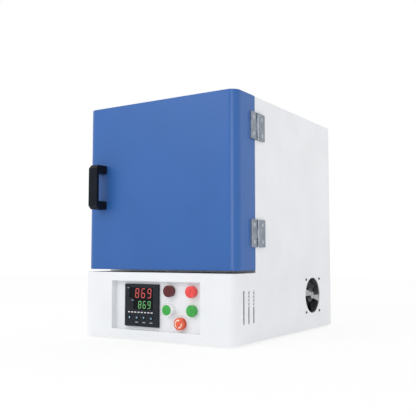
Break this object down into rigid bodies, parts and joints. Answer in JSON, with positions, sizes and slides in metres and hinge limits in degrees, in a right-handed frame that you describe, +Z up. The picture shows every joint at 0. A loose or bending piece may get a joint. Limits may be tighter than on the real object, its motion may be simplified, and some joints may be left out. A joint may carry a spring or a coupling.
{
  "type": "muffle furnace",
  "caption": "Bench-top muffle furnace: blue side-hinged door on a white case, fibre-lined firing chamber, and a control housing with controller, lamps and buttons.",
  "frame": {"origin": "middle of the overall box, on the surface that the feet stand on", "axes": "+Z up, -Y out through the door, +X towards the hinges"},
  "size_m": [0.4235, 0.571, 0.547],
  "materials": {
    "case_paint": "satin",
    "door_paint": "satin",
    "stainless_steel": "satin",
    "galvanised_steel": "satin",
    "cast_steel": "satin",
    "zinc_plated_steel": "satin",
    "foot_rubber": "matte",
    "ceramic_fibre": "matte",
    "hearth_ceramic": "matte",
    "porcelain": "satin",
    "heating_alloy": "matte",
    "handle_plastic": "satin",
    "controller_plastic": "matte",
    "window_plastic": "gloss",
    "key_plastic": "satin",
    "lamp_body_plastic": "satin",
    "dark_red_lens": "gloss",
    "red_lens": "gloss",
    "green_lens": "gloss",
    "green_cap": "gloss",
    "stop_head_plastic": "satin",
    "chromed_brass": "polished",
    "cast_aluminium": "satin",
    "fan_blade_plastic": "satin",
    "black_nylon": "satin",
    "device_plastic": "matte"
  },
  "bodies": {
    "case": {"alarm_lamp_body": "lamp_body_plastic", "alarm_lamp_lens": "dark_red_lens", "base_pan": "galvanised_steel", "cable_gland": "black_nylon", "case_hinge_leaves": "cast_steel", "case_hinge_screws": "zinc_plated_steel", "casing_screws": "zinc_plated_steel", "catch_magnets": "zinc_plated_steel", "contactor": "device_plastic", "control_panel": "case_paint", "controller_bezel": "controller_plastic", "controller_housing": "controller_plastic", "display_window": "window_plastic", "element_terminals": "porcelain", "emergency_stop_collar": "lamp_body_plastic", "fan_frame": "cast_aluminium", "feet": "foot_rubber", "front_frame": "stainless_steel", "hearth_plate": "hearth_ceramic", "heat_sink": "cast_aluminium", "heating_element_left": "heating_alloy", "heating_element_right": "heating_alloy", "hinge_pins": "zinc_plated_steel", "inner_liner": "galvanised_steel", "insulation_jacket": "ceramic_fibre", "lead_bushings": "porcelain", "mounting_nuts": "black_nylon", "mouth_collar": "ceramic_fibre", "muffle": "ceramic_fibre", "outer_casing": "case_paint", "power_lamp_body": "lamp_body_plastic", "power_lamp_lens": "red_lens", "rear_cover": "case_paint", "run_lamp_body": "lamp_body_plastic", "run_lamp_lens": "green_lens", "shelf": "galvanised_steel", "solid_state_relay": "device_plastic", "start_button_collar": "chromed_brass", "terminal_block": "device_plastic", "thermocouple_head": "cast_aluminium", "thermocouple_sheath": "porcelain"},
    "door": {"door_shell": "door_paint", "door_liner": "stainless_steel", "door_insulation": "ceramic_fibre", "door_plug": "ceramic_fibre", "door_seal": "ceramic_fibre", "strike_plates": "zinc_plated_steel", "handle": "handle_plastic", "handle_screws": "zinc_plated_steel", "door_hinge_leaves": "cast_steel", "door_hinge_screws": "zinc_plated_steel"},
    "impeller": {"fan_impeller": "fan_blade_plastic"},
    "start_cap": {"start_button_cap": "green_cap"},
    "stop_stem": {"emergency_stop_stem": "lamp_body_plastic"},
    "stop_head": {"emergency_stop_head": "stop_head_plastic"},
    "key_1": {"controller_key_1": "key_plastic"},
    "key_2": {"controller_key_2": "key_plastic"},
    "key_3": {"controller_key_3": "key_plastic"},
    "key_4": {"controller_key_4": "key_plastic"}
  },
  "joints": [
    {"name": "door_hinge", "type": "hinge", "parent": "case", "child": "door", "pos_m": [0.20815, -0.1545, 0.353], "axis": [0, 0, 1], "range_deg": [0, 160]},
    {"name": "fan_spin", "type": "hinge", "parent": "case", "child": "impeller", "pos_m": [0.1899, 0.1495, 0.089], "axis": [1, 0, 0], "continuous": true},
    {"name": "start_press", "type": "slide", "parent": "case", "child": "start_cap", "axis": [0, 1, 0], "range_m": [0, 0.004], "stiffness_N_per_m": 500},
    {"name": "stop_press", "type": "slide", "parent": "case", "child": "stop_stem", "axis": [0, 1, 0], "range_m": [0, 0.004]},
    {"name": "stop_twist", "type": "hinge", "parent": "stop_stem", "child": "stop_head", "pos_m": [0.0637, -0.2515, 0.0425], "axis": [0, 1, 0], "range_deg": [0, 40], "stiffness_Nm_per_rad": 0.1},
    {"name": "key_1_press", "type": "slide", "parent": "case", "child": "key_1", "axis": [0, 1, 0], "range_m": [0, 0.0008], "stiffness_N_per_m": 800},
    {"name": "key_2_press", "type": "slide", "parent": "case", "child": "key_2", "axis": [0, 1, 0], "range_m": [0, 0.0008], "stiffness_N_per_m": 800},
    {"name": "key_3_press", "type": "slide", "parent": "case", "child": "key_3", "axis": [0, 1, 0], "range_m": [0, 0.0008], "stiffness_N_per_m": 800},
    {"name": "key_4_press", "type": "slide", "parent": "case", "child": "key_4", "axis": [0, 1, 0], "range_m": [0, 0.0008], "stiffness_N_per_m": 800}
  ]
}
